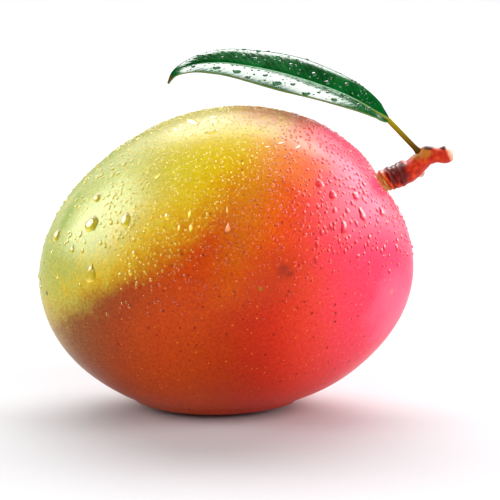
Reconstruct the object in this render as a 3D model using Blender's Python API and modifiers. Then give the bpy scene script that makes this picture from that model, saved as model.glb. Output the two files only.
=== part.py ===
"""A whole mango as picked: the fruit lying on its belly, with a short piece of its woody stalk and one leaf.

Run it with  blender --background --python part.py  or from Blender's text editor. Metres, +Z up. The origin is
the middle of the small flat spot that the fruit rests on. +X runs towards the stalk end, and -Y faces the viewer.
"""

import math

import bmesh
import bpy
from mathutils import Matrix, Vector, noise

MM = 0.001
GAP = 0.3 * MM  # air between two pieces that meet

# The fruit is an ellipsoid, set slanting, with three broad swellings and the small hollow that the stalk stands in.
FRUIT_HALF_LENGTH = 55.5 * MM
FRUIT_HALF_BREADTH = 48.6 * MM
FRUIT_HALF_THICKNESS = 45.0 * MM
FRUIT_SLANT = math.radians(21.5)
FRUIT_CENTRE = Vector((4.0, 0.0, 48.6)) * MM
FRUIT_ROUND_STEPS = 56
FRUIT_LONG_STEPS = 34

# Each swelling: height as a share of the radius, bearing round the broad side from +X, and angular width.
STALK_BEARING = math.radians(26.9)
STALK_SHOULDER = (0.080, math.radians(-6), math.radians(24))
BELLY = (0.078, math.radians(-36), math.radians(33))
NOSE = (0.105, math.radians(188), math.radians(38))
STALK_HOLLOW = (-0.024, STALK_BEARING, math.radians(7.5))

# The stalk: a collar straight out of the skin, then its centre line onwards, as steps right and up from its
# foot, with its radius there.
STALK_FOOT_RADIUS = 3.2 * MM
STALK_FOOT_GAP = 1.7 * GAP
COLLAR_LENGTH = 1.4 * MM
COLLAR_RADIUS = 3.35 * MM
STALK_ROUTE_MM = (
    ((5.9, 2.5), 3.7),
    ((9.3, 4.0), 3.3),
    ((11.9, 6.5), 3.0),
    ((14.4, 8.3), 2.75),
    ((17.6, 8.8), 2.4),
    ((20.4, 8.7), 2.35),
    ((22.6, 8.9), 1.9),
)
STALK_STEPS = 66
STALK_BEVEL_RESOLUTION = 5

# Ring scars crowd the stalk near the fruit. Past them the bark is gently lumpy.
RING_PLACES_MM = (1.0, 2.5, 3.9, 5.3)
RING_HEIGHT = 0.32 * MM
RING_WIDTH = 0.42 * MM
BARK_STARTS = 3.2 * MM
BARK_IS_FULL = 6.7 * MM
BARK_ROUGHNESS = 0.22 * MM
BARK_GRAIN = 1.9 * MM

# Buds and scars on the stalk: distance along it, bearing round it from straight up in degrees, and half lengths.
BUDS_MM = (
    (17.4, 0.0, (1.8, 1.3, 0.9)),
    (22.0, -12.0, (1.3, 1.1, 0.9)),
    (8.4, 8.0, (1.9, 1.5, 0.8)),
    (19.2, 128.0, (1.2, 1.0, 0.7)),
)
BUD_SINKS_TO = 0.92  # a bud's middle lies at this share of the stalk's radius

# The leaf's petiole leaves the stalk at its knee and runs on as the midrib under the blade.
PETIOLE_PLACE = 16.0 * MM
PETIOLE_END_GAP = 2.2 * GAP
PETIOLE_RADIUS = 0.85 * MM
PETIOLE_SWELLING = 0.35
PETIOLE_SWELLING_LENGTH = 2.2 * MM
PETIOLE_STEPS = 12
PETIOLE_BEVEL_RESOLUTION = 2
MIDRIB_TIP_RADIUS = 0.38 * MM
MIDRIB_SINKS = 0.25 * MM
MIDRIB_SINKING_STEPS = 8

# The midrib's line from the blade's base to its tip.
MIDRIB_ROUTE_MM = (
    (55.6, 0.0, 93.7),
    (45.2, -0.3, 100.2),
    (29.5, -0.8, 106.6),
    (11.7, -1.2, 111.2),
    (0.7, -1.2, 112.5),
    (-7.4, -0.8, 111.5),
    (-13.0, -0.3, 108.4),
    (-14.6, 0.0, 105.6),
)

# The blade is turned about its midrib, near half down. Each half arches up from the midrib and droops at the margin.
BLADE_HALF_WIDTH = 11.8 * MM
BLADE_END_HALF_WIDTH = 0.45 * MM
BLADE_THICKNESS = 0.7 * MM
BLADE_LONG_STEPS = 44
BLADE_CROSS_STEPS = 12
BLADE_WIDEST_POWER = 0.85
BLADE_BASE_POWER = 0.7
BLADE_TIP_POWER = 0.98
BLADE_ROLL = math.radians(21.5)
BLADE_FOLD_AT_BASE = 0.22
BLADE_ARCH = 0.28
FULL_ARCH_HALF_WIDTH = 5.0 * MM
MARGIN_WAVE = 0.3 * MM
MARGIN_WAVES = 3.0
NEAR_MARGIN_LAG = 0.45 * math.pi

# Colour and roughness of each sub-part.
SKIN_FINISH = ((0.80, 0.26, 0.08), 0.35)
BARK_FINISH = ((0.42, 0.10, 0.045), 0.55)
LEAF_FINISH = ((0.03, 0.20, 0.06), 0.3)

SHARP_ANGLE = math.radians(12)
FINE_STEPS = 24  # short steps between two given points of a smooth route
PART_NAME = "mango"


def clear_scene():
    for thing in list(bpy.data.objects):
        bpy.data.objects.remove(thing, do_unlink=True)


def collection_named(name):
    made = bpy.data.collections.new(name)
    bpy.context.scene.collection.children.link(made)
    return made


def plain_material(name, finish):
    colour, roughness = finish
    made = bpy.data.materials.new(name)
    made.use_nodes = True
    shader = made.node_tree.nodes["Principled BSDF"]
    shader.inputs["Base Color"].default_value = (*colour, 1.0)
    shader.inputs["Roughness"].default_value = roughness
    shader.inputs["Metallic"].default_value = 0.0
    return made


def object_from(bm, name, collection):
    mesh = bpy.data.meshes.new(name)
    bm.to_mesh(mesh)
    bm.free()
    made = bpy.data.objects.new(name, mesh)
    collection.objects.link(made)
    return made


def finish_off(thing, material):
    """Gives a finished sub-part its one material and smooth shading."""
    thing.data.materials.clear()
    thing.data.materials.append(material)
    thing.data.shade_smooth()


def bearing_direction(bearing):
    """The direction at this bearing round the fruit's broad side, from +X up towards +Z."""
    return Vector((math.cos(bearing), 0.0, math.sin(bearing)))


def fruit_radius(direction):
    """From the fruit's centre to its skin along a unit direction."""
    along = direction.dot(bearing_direction(FRUIT_SLANT)) / FRUIT_HALF_LENGTH
    across = direction.dot(bearing_direction(FRUIT_SLANT + math.pi / 2)) / FRUIT_HALF_BREADTH
    deep = direction.y / FRUIT_HALF_THICKNESS
    radius = 1.0 / math.sqrt(along**2 + across**2 + deep**2)
    share = 1.0
    for height, bearing, width in (STALK_SHOULDER, BELLY, NOSE, STALK_HOLLOW):
        apart = direction.angle(bearing_direction(bearing))
        share += height * math.exp(-((apart / width) ** 2))
    return radius * share


def skin_point(bearing):
    """The point of the skin at this bearing round the fruit's broad side."""
    direction = bearing_direction(bearing)
    return FRUIT_CENTRE + direction * fruit_radius(direction)


def make_fruit(collection):
    """A ball with its poles at the stalk and the nose, drawn out to the fruit's form and trimmed flat below."""
    bm = bmesh.new()
    bmesh.ops.create_uvsphere(bm, u_segments=FRUIT_ROUND_STEPS, v_segments=FRUIT_LONG_STEPS, radius=1.0)
    to_stalk = Vector((0, 0, 1)).rotation_difference(bearing_direction(STALK_BEARING))
    for vertex in bm.verts:
        direction = (to_stalk @ vertex.co).normalized()
        vertex.co = FRUIT_CENTRE + direction * fruit_radius(direction)
    cut = bmesh.ops.bisect_plane(
        bm,
        geom=[*bm.verts, *bm.edges, *bm.faces],
        dist=0.05 * MM,
        plane_co=(0, 0, 0),
        plane_no=(0, 0, -1),
        clear_outer=True,
    )
    rim = [piece for piece in cut["geom_cut"] if isinstance(piece, bmesh.types.BMEdge)]
    bmesh.ops.contextual_create(bm, geom=rim)
    bmesh.ops.recalc_face_normals(bm, faces=bm.faces)
    fruit = object_from(bm, "fruit", collection)
    finish_off(fruit, plain_material("mango_skin", SKIN_FINISH))
    fruit.data.set_sharp_from_angle(angle=SHARP_ANGLE)


def smooth_route(points, steps):
    """Evenly spaced points on a smooth curve through the given ones, and the curve's length."""
    spans = [(b.xyz - a.xyz).length for a, b in zip(points, points[1:])]
    chords = [(b - a) / span for a, b, span in zip(points, points[1:], spans)]
    slopes = [chords[0]]
    for i in range(1, len(points) - 1):
        before, after = spans[i - 1], spans[i]
        slopes.append((chords[i - 1] * after + chords[i] * before) / (before + after))
    slopes.append(chords[-1])
    fine = []
    for i, span in enumerate(spans):
        for j in range(FINE_STEPS):
            t = j / FINE_STEPS
            place = points[i].lerp(points[i + 1], t * t * (3 - 2 * t))
            place += slopes[i] * span * t * (1 - t) ** 2
            place -= slopes[i + 1] * span * t * t * (1 - t)
            fine.append(place)
    fine.append(points[-1])
    reach = [0.0]
    for a, b in zip(fine, fine[1:]):
        reach.append(reach[-1] + (b.xyz - a.xyz).length)
    route = []
    i = 0
    for step in range(steps + 1):
        wanted = reach[-1] * step / steps
        while i < len(fine) - 2 and reach[i + 1] < wanted:
            i += 1
        share = (wanted - reach[i]) / (reach[i + 1] - reach[i])
        route.append(fine[i].lerp(fine[i + 1], share))
    return route, reach[-1]


def tube_from(name, points, radii, bevel_resolution, collection):
    """A closed mesh tube with its caps welded, from a curve object with these points and radii."""
    curve = bpy.data.curves.new(name, "CURVE")
    curve.dimensions = "3D"
    curve.bevel_depth = 1.0
    curve.bevel_resolution = bevel_resolution
    curve.use_fill_caps = True
    spline = curve.splines.new("POLY")
    spline.points.add(len(points) - 1)
    for spot, place, radius in zip(spline.points, points, radii):
        spot.co = (*place, 1.0)
        spot.radius = radius
    guide = bpy.data.objects.new(name + "_curve", curve)
    collection.objects.link(guide)
    graph = bpy.context.evaluated_depsgraph_get()
    mesh = bpy.data.meshes.new_from_object(guide.evaluated_get(graph))
    made = bpy.data.objects.new(name, mesh)
    made.matrix_world = guide.matrix_world
    collection.objects.link(made)
    bpy.data.objects.remove(guide, do_unlink=True)
    bm = bmesh.new()
    bm.from_mesh(mesh)
    bmesh.ops.remove_doubles(bm, verts=bm.verts, dist=0.01 * MM)
    bmesh.ops.recalc_face_normals(bm, faces=bm.faces)
    bm.to_mesh(mesh)
    bm.free()
    return made


def join_into(body, pieces_collection):
    """Fuses every piece of a collection into the body with one Boolean union, then removes the pieces."""
    union = body.modifiers.new("fuse", "BOOLEAN")
    union.operation = "UNION"
    union.operand_type = "COLLECTION"
    union.collection = pieces_collection
    union.solver = "EXACT"
    graph = bpy.context.evaluated_depsgraph_get()
    fused = bpy.data.meshes.new_from_object(body.evaluated_get(graph))
    body.modifiers.clear()
    body.data = fused
    for piece in list(pieces_collection.objects):
        bpy.data.objects.remove(piece, do_unlink=True)
    bpy.data.collections.remove(pieces_collection)


def stalk_line():
    """The stalk's centre line as points whose fourth number is the radius, and its length."""
    small_turn = math.radians(1)
    tangent = skin_point(STALK_BEARING + small_turn) - skin_point(STALK_BEARING - small_turn)
    out_of_skin = Vector((tangent.z, 0.0, -tangent.x)).normalized()
    foot = skin_point(STALK_BEARING) + out_of_skin * STALK_FOOT_GAP
    collar_end = foot + out_of_skin * COLLAR_LENGTH
    points = [Vector((*foot, STALK_FOOT_RADIUS)), Vector((*collar_end, COLLAR_RADIUS))]
    for (right, up), radius in STALK_ROUTE_MM:
        place = foot + Vector((right, 0.0, up)) * MM
        points.append(Vector((*place, radius * MM)))
    return smooth_route(points, STALK_STEPS)


def with_rings(radius, reach):
    """The stalk's radius at a distance along it, raised where a ring scar is."""
    for ring in RING_PLACES_MM:
        radius += RING_HEIGHT * math.exp(-(((reach - ring * MM) / RING_WIDTH) ** 2))
    return radius


def roughen_bark(stalk, points):
    """Moves the stalk's skin in and out by a gentle noise, leaving the foot true."""
    for vertex in stalk.data.vertices:
        from_foot = (vertex.co - points[0]).length
        fullness = min(1.0, max(0.0, (from_foot - BARK_STARTS) / (BARK_IS_FULL - BARK_STARTS)))
        axis_point = min(points, key=lambda spot: (spot - vertex.co).length_squared)
        outward = (vertex.co - axis_point).normalized()
        vertex.co += outward * noise.noise(vertex.co / BARK_GRAIN) * BARK_ROUGHNESS * fullness


def make_bud(name, middle, axes, half_lengths, collection):
    bm = bmesh.new()
    bmesh.ops.create_icosphere(bm, subdivisions=2, radius=1.0)
    for vertex in bm.verts:
        sized = Vector(share * half * MM for share, half in zip(vertex.co, half_lengths))
        vertex.co = middle + axes @ sized
    object_from(bm, name, collection)


def make_stalk(collection):
    """The woody stalk: a knobbly tube with ring scars near the fruit and a few buds fused into it."""
    line, length = stalk_line()
    points = [spot.xyz for spot in line]
    radii = [with_rings(spot[3], length * i / STALK_STEPS) for i, spot in enumerate(line)]
    stalk = tube_from("stalk", points, radii, STALK_BEVEL_RESOLUTION, collection)
    roughen_bark(stalk, points)
    buds = collection_named("buds_to_fuse")
    for number, (place, bearing, half_lengths) in enumerate(BUDS_MM):
        i = round(place * MM / length * STALK_STEPS)
        along = (points[i + 1] - points[i - 1]).normalized()
        sideways = along.cross(Vector((0, 0, 1))).normalized()
        turn = math.radians(bearing)
        outward = sideways.cross(along) * math.cos(turn) - sideways * math.sin(turn)
        axes = Matrix((along, outward.cross(along), outward)).transposed()
        middle = points[i] + outward * radii[i] * BUD_SINKS_TO
        make_bud(f"bud_{number}", middle, axes, half_lengths, buds)
    join_into(stalk, buds)
    finish_off(stalk, plain_material("stalk_bark", BARK_FINISH))


def petiole_start(blade_base):
    """Where the petiole's end face stands, just clear of the stalk's knee, on the way to the blade's base."""
    line, length = stalk_line()
    knee = line[round(PETIOLE_PLACE / length * STALK_STEPS)]
    direction = (blade_base - knee.xyz).normalized()
    return knee.xyz + direction * (knee[3] + PETIOLE_END_GAP)


def blade_half_width(t):
    """Half the blade's width at a share t of its length: blunt at the base, widest at 0.44, then a long point."""
    swelling = max(0.0, math.sin(math.pi * t**BLADE_WIDEST_POWER))
    power = BLADE_BASE_POWER * (1 - t) + BLADE_TIP_POWER * t
    return BLADE_END_HALF_WIDTH + (BLADE_HALF_WIDTH - BLADE_END_HALF_WIDTH) * swelling**power


def blade_sides(midrib, i):
    """The direction across the blade, away from the viewer, and the direction out of its upper side."""
    along = (midrib[min(i + 1, BLADE_LONG_STEPS)] - midrib[max(i - 1, 0)]).normalized()
    away = Vector((0, 1, 0))
    away = (away - along * away.dot(along)).normalized()
    upper = away.cross(along)
    across = away * math.cos(BLADE_ROLL) + upper * math.sin(BLADE_ROLL)
    return across, upper * math.cos(BLADE_ROLL) - away * math.sin(BLADE_ROLL)


def blade_point(midrib, i, side):
    """A point of the blade's middle surface. side runs from -1 at the near margin to 1 at the far one."""
    t = i / BLADE_LONG_STEPS
    across, upper = blade_sides(midrib, i)
    half_width = blade_half_width(t)
    q = abs(side)
    fold = BLADE_FOLD_AT_BASE * (1 - t) ** 3
    flatter = min(1.0, half_width / FULL_ARCH_HALF_WIDTH) ** 2
    lift = half_width * flatter * (fold * q + BLADE_ARCH * q * (1 - q))
    lag = NEAR_MARGIN_LAG if side < 0 else 0.0
    wave = MARGIN_WAVE * q**2 * math.sin(math.pi * t) * math.sin(2 * math.pi * MARGIN_WAVES * t + lag)
    return midrib[i] + across * side * half_width + upper * (lift + wave)


def make_blade(midrib, collection):
    """The thin blade: a grid bent to its form, cut into triangles alike on both faces, then thickened."""
    bm = bmesh.new()
    bmesh.ops.create_grid(bm, x_segments=BLADE_LONG_STEPS, y_segments=BLADE_CROSS_STEPS, size=1.0)
    for vertex in bm.verts:
        i = round((vertex.co.x + 1) / 2 * BLADE_LONG_STEPS)
        vertex.co = blade_point(midrib, i, vertex.co.y)
    bmesh.ops.triangulate(bm, faces=bm.faces)
    bmesh.ops.recalc_face_normals(bm, faces=bm.faces)
    blade = object_from(bm, "leaf", collection)
    thicken = blade.modifiers.new("thickness", "SOLIDIFY")
    thicken.thickness = BLADE_THICKNESS
    thicken.offset = 0.0
    return blade


def make_rib(midrib, collection):
    """The petiole and the midrib in one tapering tube, which sinks to the blade's under side as it runs on."""
    start = petiole_start(midrib[0])
    petiole = [start.lerp(midrib[0], i / PETIOLE_STEPS) for i in range(PETIOLE_STEPS)]
    points = []
    radii = []
    for i, place in enumerate([*petiole, *midrib[:-1]]):
        past_base = i - PETIOLE_STEPS
        t = max(0.0, past_base / (BLADE_LONG_STEPS - 1))
        _, upper = blade_sides(midrib, max(past_base, 0))
        sunk = MIDRIB_SINKS * min(1.0, max(0.0, past_base / MIDRIB_SINKING_STEPS))
        points.append(place - upper * sunk)
        from_start = (place - start).length
        swelling = 1 + PETIOLE_SWELLING * math.exp(-((from_start / PETIOLE_SWELLING_LENGTH) ** 2))
        radii.append((PETIOLE_RADIUS * (1 - t) + MIDRIB_TIP_RADIUS * t) * swelling)
    tube_from("rib", points, radii, PETIOLE_BEVEL_RESOLUTION, collection)


def make_leaf(collection):
    """The leaf, grown as one piece: the blade fused with the petiole and midrib."""
    route = [Vector(place) * MM for place in MIDRIB_ROUTE_MM]
    midrib, _ = smooth_route(route, BLADE_LONG_STEPS)
    leaf = make_blade(midrib, collection)
    ribs = collection_named("ribs_to_fuse")
    make_rib(midrib, ribs)
    join_into(leaf, ribs)
    finish_off(leaf, plain_material("leaf_green", LEAF_FINISH))


def build():
    clear_scene()
    parts = collection_named(PART_NAME)
    make_fruit(parts)
    make_stalk(parts)
    make_leaf(parts)


build()
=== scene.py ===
import itertools
import math
import random

import bmesh
import bpy
from mathutils import Matrix, Vector, noise


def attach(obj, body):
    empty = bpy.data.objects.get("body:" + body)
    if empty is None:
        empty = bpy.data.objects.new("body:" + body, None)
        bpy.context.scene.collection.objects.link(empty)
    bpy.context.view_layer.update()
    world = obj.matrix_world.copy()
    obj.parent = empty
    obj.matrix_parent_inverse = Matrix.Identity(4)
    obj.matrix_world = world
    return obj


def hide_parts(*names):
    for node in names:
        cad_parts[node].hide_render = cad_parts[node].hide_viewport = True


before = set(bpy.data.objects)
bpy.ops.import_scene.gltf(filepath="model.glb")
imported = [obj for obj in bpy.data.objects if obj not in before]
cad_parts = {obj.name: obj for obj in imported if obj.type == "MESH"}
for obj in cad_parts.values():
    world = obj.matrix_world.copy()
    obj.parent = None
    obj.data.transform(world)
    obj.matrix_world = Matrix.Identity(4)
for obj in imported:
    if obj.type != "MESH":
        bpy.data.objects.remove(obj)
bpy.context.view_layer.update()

# The fruit: one ripe mango lying on its belly, a closed body of flesh under a thin waxy skin that has turned
# from green to gold and rose. Its form is an ellipsoid set slanting, with a shoulder at the stalk, a full
# belly, a blunt nose, a small hollow where the stalk grew, and a small flat spot where it touches the floor.
MM = 0.001
FRUIT_HALF_LENGTH = 55.5 * MM
FRUIT_HALF_BREADTH = 48.6 * MM
FRUIT_HALF_THICKNESS = 45.0 * MM
FRUIT_SLANT = math.radians(21.5)
FRUIT_CENTRE = Vector((4.0, 0.0, 48.6)) * MM
STALK_BEARING = math.radians(26.9)
# Each swelling: height as a share of the radius, bearing round the broad side from +X, and angular width.
SWELLINGS = (
    (0.080, math.radians(-6), math.radians(24)),
    (0.078, math.radians(-36), math.radians(33)),
    (0.105, math.radians(188), math.radians(38)),
    (-0.024, STALK_BEARING, math.radians(7.5)),
)
UNDULATION = 0.16 * MM
UNDULATION_SIZE = 17 * MM
SPOT_ROUNDING = 0.9 * MM
NORMAL_REACH = 0.01
SKIN_SUBDIVISIONS = 6
SKIN_IOR, SKIN_ROUGHNESS = 1.24, 0.33
PALE_DOTS_APART_MM, DARK_DOTS_APART_MM = 1.9, 2.4
BLACK, WHITE = (0.0, 0.0, 0.0, 1.0), (1.0, 1.0, 1.0, 1.0)


def bearing_direction(bearing):
    """The direction at this bearing round the fruit's broad side, from +X up towards +Z."""
    return Vector((math.cos(bearing), 0.0, math.sin(bearing)))


SLANT_ALONG = bearing_direction(FRUIT_SLANT)
SLANT_ACROSS = bearing_direction(FRUIT_SLANT + math.pi / 2)


def fruit_radius(direction):
    """From the fruit's centre to its skin along a unit direction."""
    along = direction.dot(SLANT_ALONG) / FRUIT_HALF_LENGTH
    across = direction.dot(SLANT_ACROSS) / FRUIT_HALF_BREADTH
    deep = direction.y / FRUIT_HALF_THICKNESS
    share = 1.0
    for height, bearing, width in SWELLINGS:
        apart = direction.angle(bearing_direction(bearing))
        share += height * math.exp(-((apart / width) ** 2))
    return share / math.sqrt(along**2 + across**2 + deep**2)


def skin_point(direction):
    """The point of the skin in this direction from the fruit's centre, with its gentle undulation."""
    place = FRUIT_CENTRE + direction * fruit_radius(direction)
    place += direction * noise.noise(place / UNDULATION_SIZE) * UNDULATION
    if place.z < 4 * SPOT_ROUNDING:
        place.z = SPOT_ROUNDING * math.log1p(math.exp(place.z / SPOT_ROUNDING))
        place.z = max(0.0, place.z - SPOT_ROUNDING * math.log(2))
    return place


def skin_normal(direction):
    """The way out of the skin in this direction from the centre."""
    side = direction.orthogonal().normalized() * NORMAL_REACH
    other = direction.cross(side)
    a = skin_point((direction + side).normalized()) - skin_point((direction - side).normalized())
    b = skin_point((direction + other).normalized()) - skin_point((direction - other).normalized())
    return a.cross(b).normalized()


def placed_object(mesh, material):
    """An object in the scene with this mesh, its name and this material, shaded smooth."""
    mesh.shade_smooth()
    mesh.materials.append(material)
    made = bpy.data.objects.new(mesh.name, mesh)
    bpy.context.scene.collection.objects.link(made)
    return made


def finished_object(name, bm, material):
    """The object that a mesh being worked on becomes when it is finished."""
    mesh = bpy.data.meshes.new(name)
    bm.to_mesh(mesh)
    bm.free()
    return placed_object(mesh, material)


class Paint:
    """One value, colour or vector in a material's nodes. Arithmetic on it adds Math nodes."""

    def __init__(self, socket):
        self.socket = socket

    def node(self, kind, settings=None, inputs=None, output=0):
        """Adds a node of this kind, sets its settings, then gives its sockets their values or links."""
        made = self.socket.id_data.nodes.new(kind)
        for name, value in (settings or {}).items():
            if name == "stops":
                fill_ramp(made.color_ramp, value)
            else:
                setattr(made, name, value)
        for name, value in (inputs or {}).items():
            if isinstance(value, Paint):
                self.socket.id_data.links.new(value.socket, made.inputs[name])
            else:
                made.inputs[name].default_value = value
        return Paint(made.outputs[output])

    def math(self, operation, a, b=0.0, c=0.0):
        """A Math node on these values."""
        return self.node("ShaderNodeMath", {"operation": operation}, {0: a, 1: b, 2: c})

    def __add__(self, other):
        return self.math("ADD", self, other)

    def __radd__(self, other):
        return self.math("ADD", other, self)

    def __sub__(self, other):
        return self.math("SUBTRACT", self, other)

    def __rsub__(self, other):
        return self.math("SUBTRACT", other, self)

    def __mul__(self, other):
        return self.math("MULTIPLY", self, other)

    def __rmul__(self, other):
        return self.math("MULTIPLY", other, self)

    def step(self, low, high):
        """Rises smoothly from 0 at low to 1 at high, or falls where high is the smaller."""
        if low > high:
            return 1 - self.step(high, low)
        settings = {"interpolation_type": "SMOOTHSTEP"}
        return self.node("ShaderNodeMapRange", settings, {"Value": self, "From Min": low, "From Max": high})

    def ramp(self, *stops):
        """The colour at this value between stops, each a place from 0 to 1 and a colour."""
        return self.node("ShaderNodeValToRGB", {"stops": stops}, {"Fac": self})

    def mixed(self, other, share, blend="MIX"):
        """This colour with that share of another over it."""
        settings = {"data_type": "RGBA", "blend_type": blend, "clamp_factor": True}
        return self.node("ShaderNodeMix", settings, {0: share, 6: self, 7: other}, output=2)

    def vector(self, operation, other):
        """A Vector Math node on this vector and another."""
        return self.node("ShaderNodeVectorMath", {"operation": operation}, {0: self, 1: other})

    def distance(self, other):
        """The distance from this place to another."""
        return self.node("ShaderNodeVectorMath", {"operation": "DISTANCE"}, {0: self, 1: other}, output=1)

    def scaled(self, size):
        """This vector times a number."""
        return self.node("ShaderNodeVectorMath", {"operation": "SCALE"}, {0: self, "Scale": size})

    def bump(self, strength, depth):
        """A normal that is raised where this height is greater."""
        return self.node("ShaderNodeBump", inputs={"Height": self, "Strength": strength, "Distance": depth})

    def parts(self):
        """The x, y and z of this vector."""
        separate = self.node("ShaderNodeSeparateXYZ", inputs={0: self}).socket.node
        return [Paint(out) for out in separate.outputs]

    def noise(self, size, detail=2.0):
        """Cloudy noise from about -0.5 to 0.5, with features of this size."""
        inputs = {"Vector": self, "Scale": 1 / size, "Detail": detail}
        return self.node("ShaderNodeTexNoise", inputs=inputs) - 0.5

    def cells(self, size):
        """The distance to the nearest of many scattered points this far apart, and a random value for it."""
        inputs = {"Vector": self, "Scale": 1 / size}
        voronoi = self.node("ShaderNodeTexVoronoi", inputs=inputs).socket.node
        chance = self.node("ShaderNodeSeparateColor", inputs={0: Paint(voronoi.outputs["Color"])})
        return Paint(voronoi.outputs["Distance"]) * size, chance


def fill_ramp(ramp, stops):
    """Gives a colour ramp these stops, each a place from 0 to 1 and a colour."""
    while len(ramp.elements) < len(stops):
        ramp.elements.new(0.5)
    for element, (place, colour) in zip(ramp.elements, stops):
        element.position = place
        element.color = colour


def shade(red, green, blue):
    """A colour as it looks on a screen, 0 to 255 each, turned to the shader's own scale."""
    channels = []
    for part in (red / 255, green / 255, blue / 255):
        channels.append(part / 12.92 if part <= 0.04045 else ((part + 0.055) / 1.055) ** 2.4)
    return (*channels, 1.0)


def new_finish(name, **fixed):
    """A material with one Principled shader whose fixed values are set, and its object coordinates in mm."""
    material = bpy.data.materials.new(name)
    material.use_nodes = True
    shader = material.node_tree.nodes["Principled BSDF"]
    for socket, value in fixed.items():
        shader.inputs[socket.replace("_", " ")].default_value = value
    start = Paint(material.node_tree.nodes.new("ShaderNodeTexCoord").outputs["Object"])
    return material, shader, start.scaled(1 / MM)


def drive(shader, **linked):
    """Links what varies over the surface to the shader's sockets."""
    for socket, paint in linked.items():
        shader.id_data.links.new(paint.socket, shader.inputs[socket.replace("_", " ")])


# The viewer's place, in metres, by which marks and drops are set on the skin as they are seen.
VIEW_SLOPE = math.radians(11)
CAMERA_DISTANCE = 0.9
ACROSS_THE_VIEW = Vector((1, 0, 0))
UP_THE_VIEW = Vector((0, math.sin(VIEW_SLOPE), math.cos(VIEW_SLOPE)))
INTO_THE_VIEW = Vector((0, math.cos(VIEW_SLOPE), -math.sin(VIEW_SLOPE)))
VIEW_RIGHT, VIEW_UP = 7.38 * MM, 3.21 * MM
EYE = FRUIT_CENTRE + ACROSS_THE_VIEW * VIEW_RIGHT + UP_THE_VIEW * VIEW_UP - INTO_THE_VIEW * CAMERA_DISTANCE
CLEAR_OF_SKIN = 0.08
HALVINGS = 40


def seen_direction(right_mm, up_mm):
    """The direction from the fruit's centre of the skin seen right of and above the centre."""
    aim = FRUIT_CENTRE + ACROSS_THE_VIEW * right_mm * MM + UP_THE_VIEW * up_mm * MM
    ray = (aim - EYE).normalized()
    near, far = EYE + ray * (CAMERA_DISTANCE - CLEAR_OF_SKIN), aim
    for _ in range(HALVINGS):
        middle = (near + far) / 2
        from_centre = middle - FRUIT_CENTRE
        if from_centre.length < fruit_radius(from_centre.normalized()):
            far = middle
        else:
            near = middle
    return (far - FRUIT_CENTRE).normalized()


# The skin's blush fans out from a place above its top right: degrees round it, 0 to its left and 90 below it.
BLUSH_HEART_MM = (26.0, 55.0)
BLUSH_COLOURS = (
    (0, shade(200, 188, 122)),
    (14, shade(204, 190, 92)),
    (24, shade(216, 194, 40)),
    (33, shade(222, 192, 6)),
    (44, shade(220, 178, 0)),
    (53, shade(218, 160, 0)),
    (61, shade(217, 140, 0)),
    (67, shade(217, 116, 0)),
    (72, shade(222, 98, 0)),
    (77, shade(226, 84, 6)),
    (83, shade(230, 72, 26)),
    (90, shade(234, 66, 54)),
    (97, shade(240, 62, 76)),
    (106, shade(242, 60, 92)),
    (118, shade(240, 58, 102)),
    (150, shade(240, 60, 100)),
)
LAST_BLUSH = 180.0
# The browner band low on the fruit: mm from its centre towards the stalk end.
LOW_FROM, LOW_TO = -60.0, 34.0
LOW_COLOURS = (
    (-57, shade(180, 156, 84)),
    (-50, shade(164, 126, 58)),
    (-43, shade(138, 80, 32)),
    (-36, shade(148, 68, 22)),
    (-29, shade(166, 62, 12)),
    (-21, shade(186, 66, 4)),
    (-14, shade(196, 66, 2)),
    (-5, shade(198, 66, 2)),
    (4, shade(194, 56, 2)),
    (13, shade(198, 44, 8)),
    (21, shade(214, 46, 18)),
    (30, shade(230, 50, 38)),
)
# Where each of these colours starts and where it is full: mm from the fruit's centre, and degrees for the
# turn of the blush. The band's upper edge slants.
BAND_SLANT = 1.34
BAND_EDGE, BAND_END = (-41, -12), (18, -8)
BELLY_TOP, BELLY_END, BELLY_START = (8, -17), (36, 14), (-40, -8)
GREEN_SIDE, GREEN_TURN = (-6, -40), (45, 33)
RIDGE_SHADE_FOOT, RIDGE_SHADE_START = (41, 47), (-4, 12)
DEPTH_ROUNDING = 10.0


def spread(stops, low, high):
    """The stops with their places turned to shares of the way from low to high."""
    return [((at - low) / (high - low), colour) for at, colour in stops]


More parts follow.
